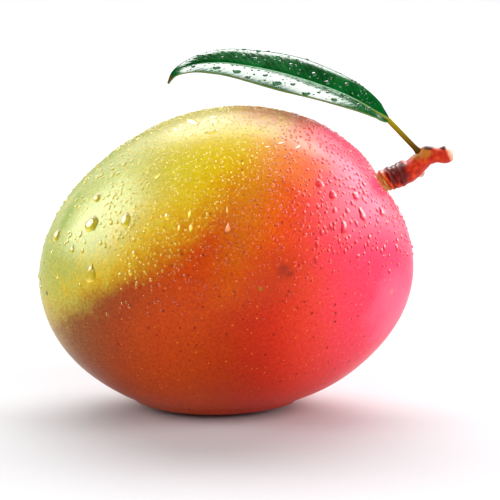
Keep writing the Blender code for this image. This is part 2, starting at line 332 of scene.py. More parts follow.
def skin_colour(place_mm):
    """The skin's colour at a place in mm, the place from the fruit's centre, and the blush's angle there."""
    place = place_mm.vector("SUBTRACT", FRUIT_CENTRE / MM)
    x, y, z = place.parts()
    depth = x.math("SQRT", y * y + DEPTH_ROUNDING**2) - DEPTH_ROUNDING
    up = z * math.cos(VIEW_SLOPE) - depth * math.sin(VIEW_SLOPE)
    broad, cloudy, fine = place.noise(24, 2), place.noise(4.2, 4), place.noise(0.9, 3)
    turn = x.math("ARCTAN2", BLUSH_HEART_MM[1] - up, BLUSH_HEART_MM[0] - x) * math.degrees(1)
    turn = turn + broad * 6 + cloudy * 10 + fine * 10
    colour = (turn * (1 / LAST_BLUSH)).ramp(*spread(BLUSH_COLOURS, 0.0, LAST_BLUSH))
    low_place = x + up.step(-8, -20) * 5 + cloudy * 6 + fine * 5
    low_share = (low_place - LOW_FROM) * (1 / (LOW_TO - LOW_FROM))
    low = low_share.ramp(*spread(LOW_COLOURS, LOW_FROM, LOW_TO))
    slanting = x - up * BAND_SLANT + up.step(-2, -14) * 9 + broad * 10 + cloudy * 9 + fine * 8
    band = slanting.step(*BAND_EDGE) * x.step(*BAND_END)
    belly = (up + cloudy * 8 + fine * 8).step(*BELLY_TOP) * x.step(*BELLY_END) * x.step(*BELLY_START)
    colour = colour.mixed(low, band.math("MAXIMUM", band, belly))
    green = x.step(*GREEN_SIDE) * turn.step(*GREEN_TURN)
    colour = colour.mixed(shade(158, 174, 84), green * 0.85)
    # A browner band along the upper right ridge: painted shade.
    ridge_shade = (up + cloudy * 5).step(*RIDGE_SHADE_FOOT) * (x + broad * 10).step(*RIDGE_SHADE_START)
    colour = colour.mixed(shade(206, 104, 44), ridge_shade * 0.8)
    grain = (place.noise(0.8, 3) * 2.0 + 0.5).ramp((0.0, BLACK), (1.0, WHITE))
    colour = colour.mixed(grain, 0.4, "SOFT_LIGHT")
    return colour, turn, place


# Marks on the skin, and one painted sheen, as seen: right of and above the centre and size, in mm,
# then colour and strength.
SKIN_MARKS_AND_PAINTED_SHEEN = (
    ((14.4, -4.0), 14.0, shade(190, 54, 26), 0.5),
    ((18.6, -3.6), 4.2, shade(136, 44, 34), 0.4),
    ((18.0, -3.0), 1.9, shade(110, 44, 36), 0.3),
    ((20.4, -4.6), 1.6, shade(130, 24, 30), 0.4),
    ((10.8, -9.3), 1.0, shade(128, 132, 30), 0.7),
    ((52.8, -10.1), 1.4, shade(236, 150, 80), 0.6),
    # A pale patch by the low right rim: a painted sheen.
    ((53.5, -15.0), 17.0, shade(250, 118, 150), 0.5),
    ((-57.8, -10.6), 1.2, shade(40, 34, 20), 0.95),
    ((-14.5, 2.0), 0.9, shade(130, 30, 10), 0.7),
    ((-30.6, 22.4), 1.3, shade(150, 160, 40), 0.5),
    ((-52.6, 11.6), 3.6, shade(124, 150, 0), 0.75),
    ((-50.6, 15.4), 4.4, shade(124, 150, 0), 0.85),
    ((-48.0, 20.0), 3.4, shade(130, 154, 0), 0.75),
    ((-45.6, 24.6), 2.6, shade(144, 164, 20), 0.6),
    ((21.0, 33.0), 17.0, shade(244, 142, 62), 0.45),
    ((-14.0, 30.0), 10.0, shade(206, 196, 10), 0.35),
    ((4.0, 21.0), 12.0, shade(214, 112, 0), 0.25),
)


def near_to(place, spot_mm, size):
    """How near a place is to a spot, from 1 at the spot to 0 at this distance."""
    gap = place.distance(spot_mm)
    return (gap + place.noise(size * 0.5, 3) * size).step(size, size * 0.2)


skin, skin_shader, skin_place = new_finish("mango_skin", IOR=SKIN_IOR)
colour, blush, place = skin_colour(skin_place)
gap, chance = place.cells(PALE_DOTS_APART_MM)
pale_dots = (gap + chance * 0.2).step(0.34, 0.18) * blush.step(30, 52)
colour = colour.mixed(shade(244, 176, 60), pale_dots * (0.55 + place.noise(9, 2) * 0.7))
gap, chance = place.cells(DARK_DOTS_APART_MM)
dark_dots = (gap + chance * 0.6).step(0.62, 0.34) * blush.step(34, 58) * blush.step(118, 96)
colour = colour.mixed(shade(132, 22, 6), dark_dots * 0.75)
for (right, up), size, tint, strength in SKIN_MARKS_AND_PAINTED_SHEEN:
    direction = seen_direction(right, up)
    spot = (skin_point(direction) - FRUIT_CENTRE) / MM
    colour = colour.mixed(tint, near_to(place, spot, size) * strength)
pores = place.noise(0.9, 2) + gap.step(0.5, 0.1) * 0.4
roughness = SKIN_ROUGHNESS + place.noise(2.2, 3) * 0.14
drive(skin_shader, Base_Color=colour, Roughness=roughness, Normal=pores.bump(0.35, 0.06 * MM))

bm = bmesh.new()
bmesh.ops.create_icosphere(bm, subdivisions=SKIN_SUBDIVISIONS, radius=1.0)
for vertex in bm.verts:
    vertex.co = skin_point(vertex.co.normalized())
fruit = finished_object("fruit_skin", bm, skin)
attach(fruit, "root")
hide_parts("fruit")

# The stalk: a short length of woody twig that the fruit hung from, grown into its hollow. A pale collar
# joins it to the skin, ring scars crowd its foot, buds stand on its upper side, and its far end is torn.
FOOT_SINKS = 0.5 * MM
CAD_FOOT_GAP = 0.51 * MM
FOOT_RADIUS_MM, COLLAR_RADIUS_MM, COLLAR_HEIGHT_MM = 3.2, 3.35, 1.4
# The stalk's centre line: how far right of its foot and above it, and its radius there.
STALK_ROUTE_MM = (
    ((5.9, 2.5), 3.7),
    ((9.3, 4.0), 3.3),
    ((11.9, 6.5), 3.0),
    ((14.4, 8.3), 2.75),
    ((17.6, 8.8), 2.4),
    ((20.4, 8.7), 2.35),
    ((22.6, 8.9), 1.9),
)
STALK_STEPS, STALK_SIDES = 150, 64
# Ring scars: distance along and how far they stand out, in mm.
RINGS_MM = ((1.3, 0.5), (3.0, 0.42), (4.9, 0.16), (6.6, 0.22))
RING_WIDTH, RING_WANDER = 0.42 * MM, 0.7 * MM
RING_COLOURS_APART_MM, RING_COLOURS_PHASE = 1.7, 3.3
# Buds and scars: mm along, degrees round from straight up, and half lengths along, across and out in mm.
BUDS_MM = (
    (17.4, 0.0, (1.8, 1.3, 0.9)),
    (22.0, -12.0, (1.3, 1.1, 0.9)),
    (8.4, 8.0, (1.9, 1.5, 0.8)),
    (19.2, 128.0, (1.2, 1.0, 0.7)),
)
# The bark's grain: size and height, in mm.
BARK_GRAIN_MM = ((1.9, 0.22), (0.55, 0.09))
TORN_LENGTH, TORN_TAPER = 1.2 * MM, 0.22
END_INSET = 0.25 * MM
FINE_STEPS = 24


def smooth_route(points, steps):
    """Evenly spaced points on a smooth curve through the given ones, and the curve's length."""
    spans = [(b.xyz - a.xyz).length for a, b in zip(points, points[1:])]
    chords = [(b - a) / span for a, b, span in zip(points, points[1:], spans)]
    slopes = [chords[0]]
    for i in range(1, len(points) - 1):
        before, after = spans[i - 1], spans[i]
        slopes.append((chords[i - 1] * after + chords[i] * before) / (before + after))
    slopes.append(chords[-1])
    fine = []
    for i, span in enumerate(spans):
        for j in range(FINE_STEPS):
            t = j / FINE_STEPS
            spot = points[i].lerp(points[i + 1], t * t * (3 - 2 * t))
            spot += slopes[i] * span * t * (1 - t) ** 2
            spot -= slopes[i + 1] * span * t * t * (1 - t)
            fine.append(spot)
    fine.append(points[-1])
    reach = [0.0]
    for a, b in zip(fine, fine[1:]):
        reach.append(reach[-1] + (b.xyz - a.xyz).length)
    route = []
    i = 0
    for step in range(steps + 1):
        wanted = reach[-1] * step / steps
        while i < len(fine) - 2 and reach[i + 1] < wanted:
            i += 1
        share = (wanted - reach[i]) / (reach[i + 1] - reach[i])
        route.append(fine[i].lerp(fine[i + 1], share))
    return route, reach[-1]


def tube(line, sides, form):
    """A closed tube round a line. form(i, angle, outward) gives the radius there."""
    bm = bmesh.new()
    rings = []
    for i, spot in enumerate(line):
        ahead = (line[min(i + 1, len(line) - 1)].xyz - line[max(i - 1, 0)].xyz).normalized()
        across = ahead.cross(Vector((0, 0, 1))).normalized()
        upward = across.cross(ahead)
        ring = []
        for k in range(sides):
            angle = 2 * math.pi * k / sides
            outward = upward * math.cos(angle) - across * math.sin(angle)
            ring.append(bm.verts.new(spot.xyz + outward * form(i, angle, outward)))
        rings.append(ring)
    for one, two in zip(rings, rings[1:]):
        for k in range(sides):
            after = (k + 1) % sides
            bm.faces.new((one[k], one[after], two[after], two[k]))
    for ring in (rings[0][::-1], rings[-1]):
        cap = bm.faces.new(ring)
        bmesh.ops.inset_region(bm, faces=[cap], thickness=END_INSET)
        bmesh.ops.poke(bm, faces=[cap])
    bmesh.ops.recalc_face_normals(bm, faces=bm.faces)
    return bm


stalk_direction = bearing_direction(STALK_BEARING)
out_of_skin = skin_normal(stalk_direction)
hollow_bottom = skin_point(stalk_direction)
foot = hollow_bottom + out_of_skin * CAD_FOOT_GAP
collar_top = foot + out_of_skin * COLLAR_HEIGHT_MM * MM
stalk_points = [
    Vector((*(hollow_bottom - out_of_skin * FOOT_SINKS), FOOT_RADIUS_MM * MM)),
    Vector((*collar_top, COLLAR_RADIUS_MM * MM)),
]
for (right, up), radius in STALK_ROUTE_MM:
    stalk_points.append(Vector((*(foot + Vector((right, 0.0, up)) * MM), radius * MM)))
stalk_line, stalk_length = smooth_route(stalk_points, STALK_STEPS)
stalk_lead = FOOT_SINKS + CAD_FOOT_GAP


def stalk_at(reach_mm):
    """The stalk's centre and radius this many mm along it."""
    return stalk_line[round((reach_mm * MM + stalk_lead) / stalk_length * STALK_STEPS)]


def stalk_radius(i, angle, outward):
    """The stalk's radius, with its ring scars, grain, buds and torn end."""
    spot = stalk_line[i]
    reach = stalk_length * i / STALK_STEPS - stalk_lead
    radius = spot[3]
    surface = spot.xyz + outward * radius
    wander = RING_WANDER * noise.noise(outward * 1.3 + Vector((0, 0, reach / (3 * MM))))
    for ring, height in RINGS_MM:
        radius += height * MM * math.exp(-(((reach - ring * MM - wander) / RING_WIDTH) ** 2))
    for bud, bearing, (long, wide, high) in BUDS_MM:
        turn = (angle - math.radians(bearing) + math.pi) % (2 * math.pi) - math.pi
        off = ((reach / MM - bud) / long) ** 2 + (turn * spot[3] / MM / wide) ** 2
        radius += high * MM * math.exp(-off * 1.3)
    grain = sum(noise.noise(surface / (size * MM)) * height for size, height in BARK_GRAIN_MM)
    radius += grain * MM * min(1.0, max(0.25, reach / (3 * MM)))
    near_end = max(0.0, reach - stalk_length + stalk_lead + TORN_LENGTH) / TORN_LENGTH
    return radius * (1 - TORN_TAPER * near_end**2)


bark, bark_shader, bark_place = new_finish("stalk_bark", IOR=1.32)
from_foot = bark_place.vector("SUBTRACT", foot / MM)
right, _, up = from_foot.parts()
reach = right * out_of_skin.x + up * out_of_skin.z
far = right * 0.93 + up * 0.36
mottle = from_foot.noise(1.6, 4)
streaks = from_foot.vector("MULTIPLY", (0.35, 1.0, 1.0)).noise(0.8, 3)
colour = (mottle * 1.3 + 0.5).ramp(
    (0.15, shade(150, 16, 4)), (0.5, shade(196, 40, 4)), (0.85, shade(216, 84, 10))
)
colour = colour.mixed(shade(112, 14, 8), streaks.step(0.06, 0.3) * 0.55)
# Ring scar bands: dark lines, their own colour and painted groove shade, with orange painted highlights.
ring_turn = (reach + mottle * 0.8) * (2 * math.pi / RING_COLOURS_APART_MM) - RING_COLOURS_PHASE
rings = reach.math("SINE", ring_turn)
ring_zone = reach.step(0.7, 1.5) * reach.step(4.4, 3.2)
colour = colour.mixed(shade(70, 14, 4), rings.step(0.1, 0.8) * ring_zone * 0.85)
colour = colour.mixed(shade(226, 112, 16), rings.step(-0.1, -0.9) * ring_zone * 0.7)
blotch = from_foot.noise(2.6, 4)
scarred = (reach + blotch * 4).step(2.8, 3.9) * (far + blotch * 5).step(9.6, 7.8)
colour = colour.mixed(shade(78, 12, 12), scarred * (blotch * 2.2 + up * 0.16 + 0.3).step(0.1, 0.7) * 0.9)
# A yellow-olive streak along the top of the knee: a painted highlight.
knee_top_highlight = (up - right * 0.25 + mottle * 2).step(4.4, 6.0) * far.step(10.5, 12.5) * far.step(19.5, 16.5)
colour = colour.mixed(shade(176, 132, 16), knee_top_highlight * 0.6)
for bud, *_ in BUDS_MM[:2]:
    at = stalk_at(bud)
    top = (at.xyz + Vector((0, 0, at[3] + 0.5 * MM)) - foot) / MM
    gap = from_foot.distance(top)
    colour = colour.mixed(shade(40, 24, 24), (gap + mottle * 1.6).step(2.3, 1.3) * 0.9)
collar = (reach + mottle * 0.5).step(1.7, 1.1)
collar_colour = mottle.step(-0.12, 0.12).ramp((0.0, shade(214, 194, 104)), (1.0, shade(178, 136, 58)))
colour = colour.mixed(collar_colour, collar * 0.9)
torn = (far + mottle * 1.6).step(22.4, 23.6)
colour = colour.mixed(shade(244, 176, 140), torn * 0.8)
grain = (mottle + streaks).bump(0.5, 0.12 * MM)
drive(bark_shader, Base_Color=colour, Roughness=0.42 + mottle * 0.3, Normal=grain)

stalk = finished_object("stalk_twig", tube(stalk_line, STALK_SIDES, stalk_radius), bark)
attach(stalk, "root")
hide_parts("stalk")

# The leaf: one long leathery blade on a thin petiole that grew from the stalk's knee. It arches back over the
# fruit, rolled a little towards the viewer, with a pale midrib and fine side veins.
# The midrib's line, from the blade's base to its tip.
MIDRIB_ROUTE_MM = (
    (55.6, 0.0, 93.7),
    (45.2, -0.3, 100.2),
    (29.5, -0.8, 106.6),
    (11.7, -1.2, 111.2),
    (0.7, -1.2, 112.5),
    (-7.4, -0.8, 111.5),
    (-13.0, -0.3, 108.4),
    (-14.6, 0.0, 105.6),
)
BLADE_HALF_WIDTH, BLADE_END_HALF_WIDTH = 11.8 * MM, 0.35 * MM
BLADE_THICKNESS = 0.42 * MM
BLADE_LONG_STEPS, BLADE_CROSS_STEPS = 264, 56
BLADE_ROLL = math.radians(21.5)
BLADE_FOLD_AT_BASE, BLADE_ARCH = 0.22, 0.28
NEAR_CREST, FAR_CREST = 0.6, 0.72
FULL_ARCH_HALF_WIDTH = 5.0 * MM
MARGIN_WAVE, MARGIN_WAVES = 0.16 * MM, 3.0
NEAR_MARGIN_LAG = 0.45 * math.pi
SIDE_VEINS, VEIN_SLOPE = 34, 0.10
CHANNEL_DEPTH, CHANNEL_WIDTH = 0.30 * MM, 0.6 * MM
VEIN_DEPTH, VEIN_WIDTH = 0.03 * MM, 0.35 * MM
LEAF_IOR = 1.4

midrib, midrib_length = smooth_route([Vector(place) * MM for place in MIDRIB_ROUTE_MM], BLADE_LONG_STEPS)


def blade_half_width(t):
    """Half the blade's width at a share t of its length: blunt at the base, then wide, then a long point."""
    swelling = max(0.0, math.sin(math.pi * t**0.85))
    return BLADE_END_HALF_WIDTH + (BLADE_HALF_WIDTH - BLADE_END_HALF_WIDTH) * swelling ** (0.7 + 0.28 * t)


def blade_sides(t):
    """The midrib's point at t, the way across, from the viewer,, and the way out on its upper side."""
    i = min(BLADE_LONG_STEPS - 1, int(t * BLADE_LONG_STEPS))
    spot = midrib[i].lerp(midrib[i + 1], t * BLADE_LONG_STEPS - i)
    along = (midrib[min(i + 2, BLADE_LONG_STEPS)] - midrib[max(i - 1, 0)]).normalized()
    away = Vector((0, 1, 0))
    away = (away - along * away.dot(along)).normalized()
    upper = away.cross(along)
    across = away * math.cos(BLADE_ROLL) + upper * math.sin(BLADE_ROLL)
    return spot, across, upper * math.cos(BLADE_ROLL) - away * math.sin(BLADE_ROLL)


def blade_point(t, side):
    """A point of the blade's middle surface. side runs from -1 at the near margin to 1 at the far one."""
    spot, across, upper = blade_sides(t)
    half_width = blade_half_width(t)
    q = abs(side)
    fold = BLADE_FOLD_AT_BASE * (1 - t) ** 3
    flatter = min(1.0, half_width / FULL_ARCH_HALF_WIDTH) ** 2
    crest = NEAR_CREST * q * (1 - q) if side < 0 else FAR_CREST * q * (1 - q**5)
    lift = half_width * flatter * (fold * q + BLADE_ARCH * crest)
    lag = NEAR_MARGIN_LAG if side < 0 else 0.0
    wave = MARGIN_WAVE * q**2 * math.sin(math.pi * t) * math.sin(2 * math.pi * MARGIN_WAVES * t + lag)
    channel = CHANNEL_DEPTH * math.exp(-((q * half_width / CHANNEL_WIDTH) ** 2)) * flatter
    to_vein = abs((t - q * VEIN_SLOPE) * SIDE_VEINS % 1 - 0.5) / SIDE_VEINS * midrib_length
    vein = VEIN_DEPTH * math.exp(-((to_vein / VEIN_WIDTH) ** 2)) * (1 - q**3) * flatter
    return spot + across * side * half_width + upper * (lift + wave - channel - vein)


bm = bmesh.new()
bmesh.ops.create_grid(bm, x_segments=BLADE_LONG_STEPS, y_segments=BLADE_CROSS_STEPS, size=1.0)
blade_map = bm.loops.layers.uv.new("blade")
for face in bm.faces:
    for corner in face.loops:
        corner[blade_map].uv = ((corner.vert.co.x + 1) / 2, (corner.vert.co.y + 1) / 2)
for vertex in bm.verts:
    vertex.co = blade_point((vertex.co.x + 1) / 2, vertex.co.y)
bmesh.ops.triangulate(bm, faces=bm.faces)
bmesh.ops.recalc_face_normals(bm, faces=bm.faces)

leaf_green, leaf_shader, leaf_place = new_finish("leaf_green", IOR=LEAF_IOR)
uv = leaf_place.node("ShaderNodeUVMap", {"uv_map": "blade"})
t, v = uv.parts()[:2]
q = t.math("ABSOLUTE", v * 2 - 1)
patches = leaf_place.noise(6, 3)
fine = leaf_place.noise(0.7, 3)
colour = (patches * 1.1 + fine * 0.5 + 0.5).ramp(
    (0.25, shade(0, 54, 14)), (0.5, shade(0, 82, 26)), (0.8, shade(4, 106, 40))
)
vein_phase = t.math("FRACT", (t - q * VEIN_SLOPE + 1) * SIDE_VEINS)
vein = t.math("ABSOLUTE", vein_phase - 0.5).step(0.09, 0.0) * q.step(1.0, 0.7)
colour = colour.mixed(shade(60, 128, 70), vein * 0.25)
colour = colour.mixed(shade(108, 150, 92), q.step(0.05, 0.015) * 0.6)
colour = colour.mixed(shade(150, 150, 70), q.step(0.965, 0.992) * v.step(0.5, 0.4) * 0.6)
# A paler band along the far margin: a painted sheen.
colour = colour.mixed(shade(190, 214, 190), q.step(0.93, 0.985) * v.step(0.5, 0.6) * t.step(0.8, 0.7) * 0.7)
colour = colour.mixed(shade(110, 66, 30), t.step(0.955, 0.985) * 0.85)
up = Paint(leaf_place.node("ShaderNodeNewGeometry").socket.node.outputs["Normal"]).parts()[2]
underside = up.step(0.0, -0.2)
colour = colour.mixed(shade(86, 132, 70), underside * 0.75)
roughness = 0.18 + patches * 0.1 + underside * 0.25
drive(leaf_shader, Base_Color=colour, Roughness=roughness, Normal=(fine + patches).bump(0.25, 0.08 * MM))

blade = finished_object("leaf_blade", bm, leaf_green)
thicken = blade.modifiers.new("thickness", "SOLIDIFY")
thicken.thickness = BLADE_THICKNESS
thicken.offset = 0.0
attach(blade, "root")
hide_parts("leaf")

# The petiole and the midrib: one tapering fibrous rib, grown out of the stalk's knee at one end and along the
# blade at the other. It is olive on its way up from the stalk, and pale in the blade's channel.
PETIOLE_PLACE_MM, PETIOLE_SINKS = 16.0, 0.3 * MM
PETIOLE_RADIUS_MM, RIB_TIP_RADIUS_MM = 0.85, 0.30
FOOT_SWELLING, FOOT_SWELLING_LENGTH = 0.45, 1.6 * MM
RIB_LOWERED_MM, RIB_LOWERED_OVER = 0.42, 10
RIB_SIDES, PETIOLE_STEPS = 20, 40
RIB_STRIDE, RIB_STOPS_SHORT = 2, 6
PALE_FROM_MM = 32
knee = stalk_at(PETIOLE_PLACE_MM)
way = (midrib[0] - knee.xyz).normalized()
petiole_start = knee.xyz + way * (knee[3] - PETIOLE_SINKS)
petiole_length = (midrib[0] - petiole_start).length
rib_line = [petiole_start.lerp(midrib[0], i / PETIOLE_STEPS) for i in range(PETIOLE_STEPS)]
for i, spot in enumerate(midrib[:-RIB_STOPS_SHORT:RIB_STRIDE]):
    upper = blade_sides(RIB_STRIDE * i / BLADE_LONG_STEPS)[2]
    rib_line.append(spot - upper * RIB_LOWERED_MM * MM * min(1.0, i / RIB_LOWERED_OVER))


def rib_radius(i, angle, outward):
    """The rib's radius: swollen at its foot, then tapering along the blade, with a slight roughness."""
    from_start = petiole_length * i / PETIOLE_STEPS
    t = max(0.0, i - PETIOLE_STEPS) / (len(rib_line) - PETIOLE_STEPS)
    swelling = 1 + FOOT_SWELLING * math.exp(-((from_start / FOOT_SWELLING_LENGTH) ** 2))
    roughness = 1 + 0.05 * noise.noise(rib_line[i] / (1.1 * MM) + outward)
    return (PETIOLE_RADIUS_MM * (1 - t) + RIB_TIP_RADIUS_MM * t) * MM * swelling * roughness


rib_finish, rib_shader, rib_place = new_finish("petiole_green", IOR=1.2)
colour = (rib_place.distance(petiole_start / MM) * (1 / PALE_FROM_MM)).ramp(
    (0.0, shade(66, 36, 0)),
    (0.12, shade(104, 76, 0)),
    (0.42, shade(160, 146, 14)),
    (0.6, shade(122, 146, 60)),
    (1.0, shade(136, 186, 146)),
)
colour = colour.mixed(shade(120, 60, 24), rib_place.noise(1.5, 3).step(0.1, 0.3) * 0.4)
drive(rib_shader, Base_Color=colour, Roughness=0.42 + rib_place.noise(1.0, 2) * 0.2)
rib = finished_object("leaf_rib", tube(rib_line, RIB_SIDES, rib_radius), rib_finish)
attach(rib, "root")
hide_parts("leaf")

# The water on the fruit: rain stands on the waxy skin in beads, thick on the upper half, with larger drops
# and short runs on the sides. Each is a clear dome that holds by itself. What shows through it is the skin
# under it, deeper in colour, with painted shade at its upper rim and a painted glow on its lower side
# for the light that the dome gathers.
DROP_SINKS = 0.14
DROP_ROUNDNESS = 0.6
DROP_SAG = 0.25
SIDE_PULL = 0.2
DOME_TURN = 0.8
WATER_GLOSS_IOR, WATER_GLOSS_ROUGHNESS, WATER_GLOSS_MOST = 1.33, 0.07, 0.22
ROOM_CELL, ROOM_BETWEEN = 3 * MM, 1.12
# Drops listed one by one, as seen: right of and above the fruit's centre, half width, half length, how much
# broader the lower end is, and the lean in degrees. Drops thinner than THIN_DROP_MM are bright all over.
THIN_DROP_MM = 0.75
LARGE_DROP_HEIGHT, LARGE_DROP_RIPPLE = 0.46, 0.45
LARGE_DROPS_MM = (
    (-43.6, 11.6, 2.5, 2.8, 0.10, 0),
    (-41.8, 19.8, 1.6, 1.6, 0.0, 0),
    (-32.5, 12.8, 1.5, 2.7, 0.25, 8),
    (-43.6, -4.0, 1.7, 2.9, 0.35, 0),
    (-54.6, 7.9, 2.0, 2.1, 0.1, 0),
    (-49.7, 3.4, 0.9, 1.4, 0.2, 0),
    (-19.0, 14.2, 0.9, 1.3, 0.2, 0),
    (-12.0, 14.8, 0.5, 1.6, 0.3, 0),
    (-11.6, 10.3, 0.5, 1.5, 0.5, 0),
    (-15.4, 10.3, 0.4, 1.2, 0.3, 0),
    (0.3, 10.4, 0.7, 2.0, 0.8, 0),
    (0.0, 15.8, 0.35, 1.4, 0.0, 0),
    (37.6, 10.3, 1.2, 2.9, 0.2, -10),
    (34.2, 20.6, 1.5, 1.6, 0.0, 0),
    (41.2, 20.6, 1.5, 1.3, 0.0, 30),
    (43.6, 14.0, 1.3, 2.5, -0.2, 12),
    (49.7, 15.3, 1.3, 1.6, 0.1, 0),
    (38.7, 15.7, 1.0, 1.1, 0.0, 0),
    (34.6, 15.7, 0.9, 1.0, 0.0, 0),
    (29.7, 24.3, 1.4, 1.7, 0.1, 20),
    (44.0, 24.3, 0.9, 1.0, 0.0, 0),
    (42.0, 27.5, 0.8, 0.8, 0.0, 0),
    (45.6, 29.2, 0.9, 0.8, 0.0, 0),
    (-32.9, 30.8, 0.9, 1.3, 0.1, 0),
    (-4.7, 41.1, 1.9, 1.0, 0.0, 20),
    (-22.3, 26.7, 0.5, 1.3, 0.2, -20),
)
# Thin wet streaks, as seen: right, up, half width, half length and lean.
STREAK_HEIGHT_MM = 0.16
# The streaks' hearts carry a painted glow strong enough to turn into a white painted highlight.
STREAK_LOOK = {"ripple": 0.5, "glow": 2.3, "lit": "heart"}
WET_STREAKS_MM = (
    (-11.4, 44.3, 4.2, 1.2, -12),
    (-4.6, 45.8, 2.0, 0.6, -6),
    (-16.4, 41.8, 1.6, 0.5, -24),
    (-8.4, 42.2, 1.2, 0.45, -30),
    (-14.8, 43.0, 1.3, 0.45, -16),
    (-3.6, 41.2, 1.3, 0.35, 35),
    (-5.2, 41.0, 1.2, 0.35, -35),
    (17.4, 37.6, 1.5, 0.35, 10),
    (22.6, 36.2, 1.6, 0.4, 25),
    (13.0, 36.4, 1.0, 0.35, 0),
)
# The fine drops: how many there are, and between which places, in mm, they thicken with height, dry off low
# on the stalk's side, thin out towards the nose, and coarsen away from the middle. On the warm side their
# painted glow is only at their low ends; elsewhere it spreads over the whole drop.
SMALL_DROPS = 4000
WET_HEIGHTS = (38, 70)
STALK_SIDE, STALK_SIDE_DRIER = (15, 40), 9
NOSE_SIDE, NOSE_SIDE_SPARSER = (-27, -39), 0.85
MIDDLE, COARSE_FROM_MIDDLE = -2, (12, 32)
LARGEST_SMALL_DROP, CLEAR_OF_STALK = 0.8, 4.6
WARM_SIDE = (6, 22)


def painted_light_share(lit, ahead, reach):
    """How much light a drop shows at a place this far towards its low end and this far out, each up to 1.

    It is painted as lit on its low side, at its low rim, at its heart, or over its whole body.
    """
    if lit == "low":
        return ahead * reach
    if lit == "rim":
        return ahead * reach**2 * abs(ahead)
    if lit == "heart":
        return 1 - reach**2
    return 0.3 + 0.7 * ahead * reach


class Domes:
    """Collects drops into one mesh, with the way that each point faces and how much painted light it shows.
    """

    def __init__(self):
        self.places, self.faces, self.under, self.low_side = [], [], [], []

    def put(self, place, outward, dome_way, low_side):
        """One point of a drop. It faces partly as the surface does and partly as the dome does."""
        self.places.append(place)
        self.low_side.append(low_side)
        self.under.append(outward.lerp(dome_way, DOME_TURN).normalized())

    def add(self, foot, outward, down, size, belly=0.0, ripple=0.0, fine=False, glow=1.0, lit="low"):
        """One drop on a surface, sagging the way of down. size is its half width, half length and height."""
        half_width, half_length, height = size
        rings, sides = (8, 30) if fine else (3, 9)
        across = outward.cross(down)
        first = len(self.places)
        self.put(foot + outward * height, outward, outward, painted_light_share(lit, 0.0, 0.0) * glow)
        for ring in range(1, rings + 1):
            reach = math.sin(math.pi / 2 * ring / rings)
            lift = height * (1 - reach**2) ** DROP_ROUNDNESS
            for k in range(sides):
                angle = 2 * math.pi * k / sides
                ahead, aside = math.cos(angle), math.sin(angle)
                spread_out = reach * (1 + ripple * noise.noise(Vector((ahead, aside, 0)) * 1.1 + foot / MM))
                offset = down * ahead * spread_out * half_length
                offset += across * aside * spread_out * half_width * (1 + belly * ahead)
                rise = lift * (1 + DROP_SAG * ahead * reach)
                if ring == rings:
                    rise = -DROP_SINKS * min(half_width, 1 * MM)
                tilt = offset.normalized() * reach**2 * 0.8 + outward * (1.05 - reach)
                place = foot + offset + outward * rise
                self.put(place, outward, tilt.normalized(), painted_light_share(lit, ahead, reach) * glow)
        for k in range(sides):
            after = (k + 1) % sides
            self.faces.append((first, first + 1 + k, first + 1 + after))
            for ring in range(rings - 1):
                one = first + 1 + ring * sides
                self.faces.append((one + k, one + sides + k, one + sides + after, one + after))
        last = first + 1 + (rings - 1) * sides
        self.faces.append(tuple(last + k for k in reversed(range(sides))))

    def finished(self, name, material):
        """The drops as one object, with what their material reads at each point."""
        mesh = bpy.data.meshes.new(name)
        mesh.from_pydata(self.places, [], self.faces)
        under = mesh.attributes.new("under", "FLOAT_VECTOR", "POINT")
        under.data.foreach_set("vector", [part for way in self.under for part in way])
        low_side = mesh.attributes.new("low_side", "FLOAT", "POINT")
        low_side.data.foreach_set("value", self.low_side)
        made = placed_object(mesh, material)
        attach(made, "root")
        return made


def down_slope(direction, outward):
    """The way water runs at this place of the skin."""
    pull = Vector((direction.x * SIDE_PULL, direction.y * SIDE_PULL, -1.0))
    return (pull - outward * pull.dot(outward)).normalized()


skin_drops = Domes()
taken = {}


def take_room(place, radius):
    """Takes the room for a drop here, unless another drop already has some of it."""
    cell = tuple(int(part // ROOM_CELL) for part in place)
    for step in itertools.product((-1, 0, 1), repeat=3):
        near = tuple(part + move for part, move in zip(cell, step))
        for other, size in taken.get(near, ()):
            if (other - place).length < (radius + size) * ROOM_BETWEEN:
                return False
    taken.setdefault(cell, []).append((place, radius))
    return True


def drop_as_seen(right, up, size_mm, lean, room_mm, **form):
    """A fine drop on the skin where it is seen, right of and above the fruit's centre."""
    direction = seen_direction(right, up)
    outward = skin_normal(direction)
    foot = skin_point(direction)
    down = Matrix.Rotation(math.radians(lean), 3, outward) @ down_slope(direction, outward)
    take_room(foot, room_mm * MM)
    skin_drops.add(foot, outward, down, [part * MM for part in size_mm], fine=True, **form)


def share_between(value, low, high):
    """How far a value has come from low to high, as a share from 0 to 1."""
    return max(0.0, min(1.0, (value - low) / (high - low)))


for right, up, half_width, half_length, belly, lean in LARGE_DROPS_MM:
    size_mm = (half_width, half_length, LARGE_DROP_HEIGHT * min(half_width, half_length))
    room_mm = (half_width + half_length) / 2
    # Thin drops carry their painted glow at the heart, the others at their low rim.
    lit = "heart" if half_width < THIN_DROP_MM else "rim"
    drop_as_seen(right, up, size_mm, lean, room_mm, belly=belly, ripple=LARGE_DROP_RIPPLE, lit=lit)

for right, up, half_width, half_length, lean in WET_STREAKS_MM:
    size_mm = (half_width, half_length, STREAK_HEIGHT_MM)
    drop_as_seen(right, up, size_mm, lean, half_width / 2, **STREAK_LOOK)

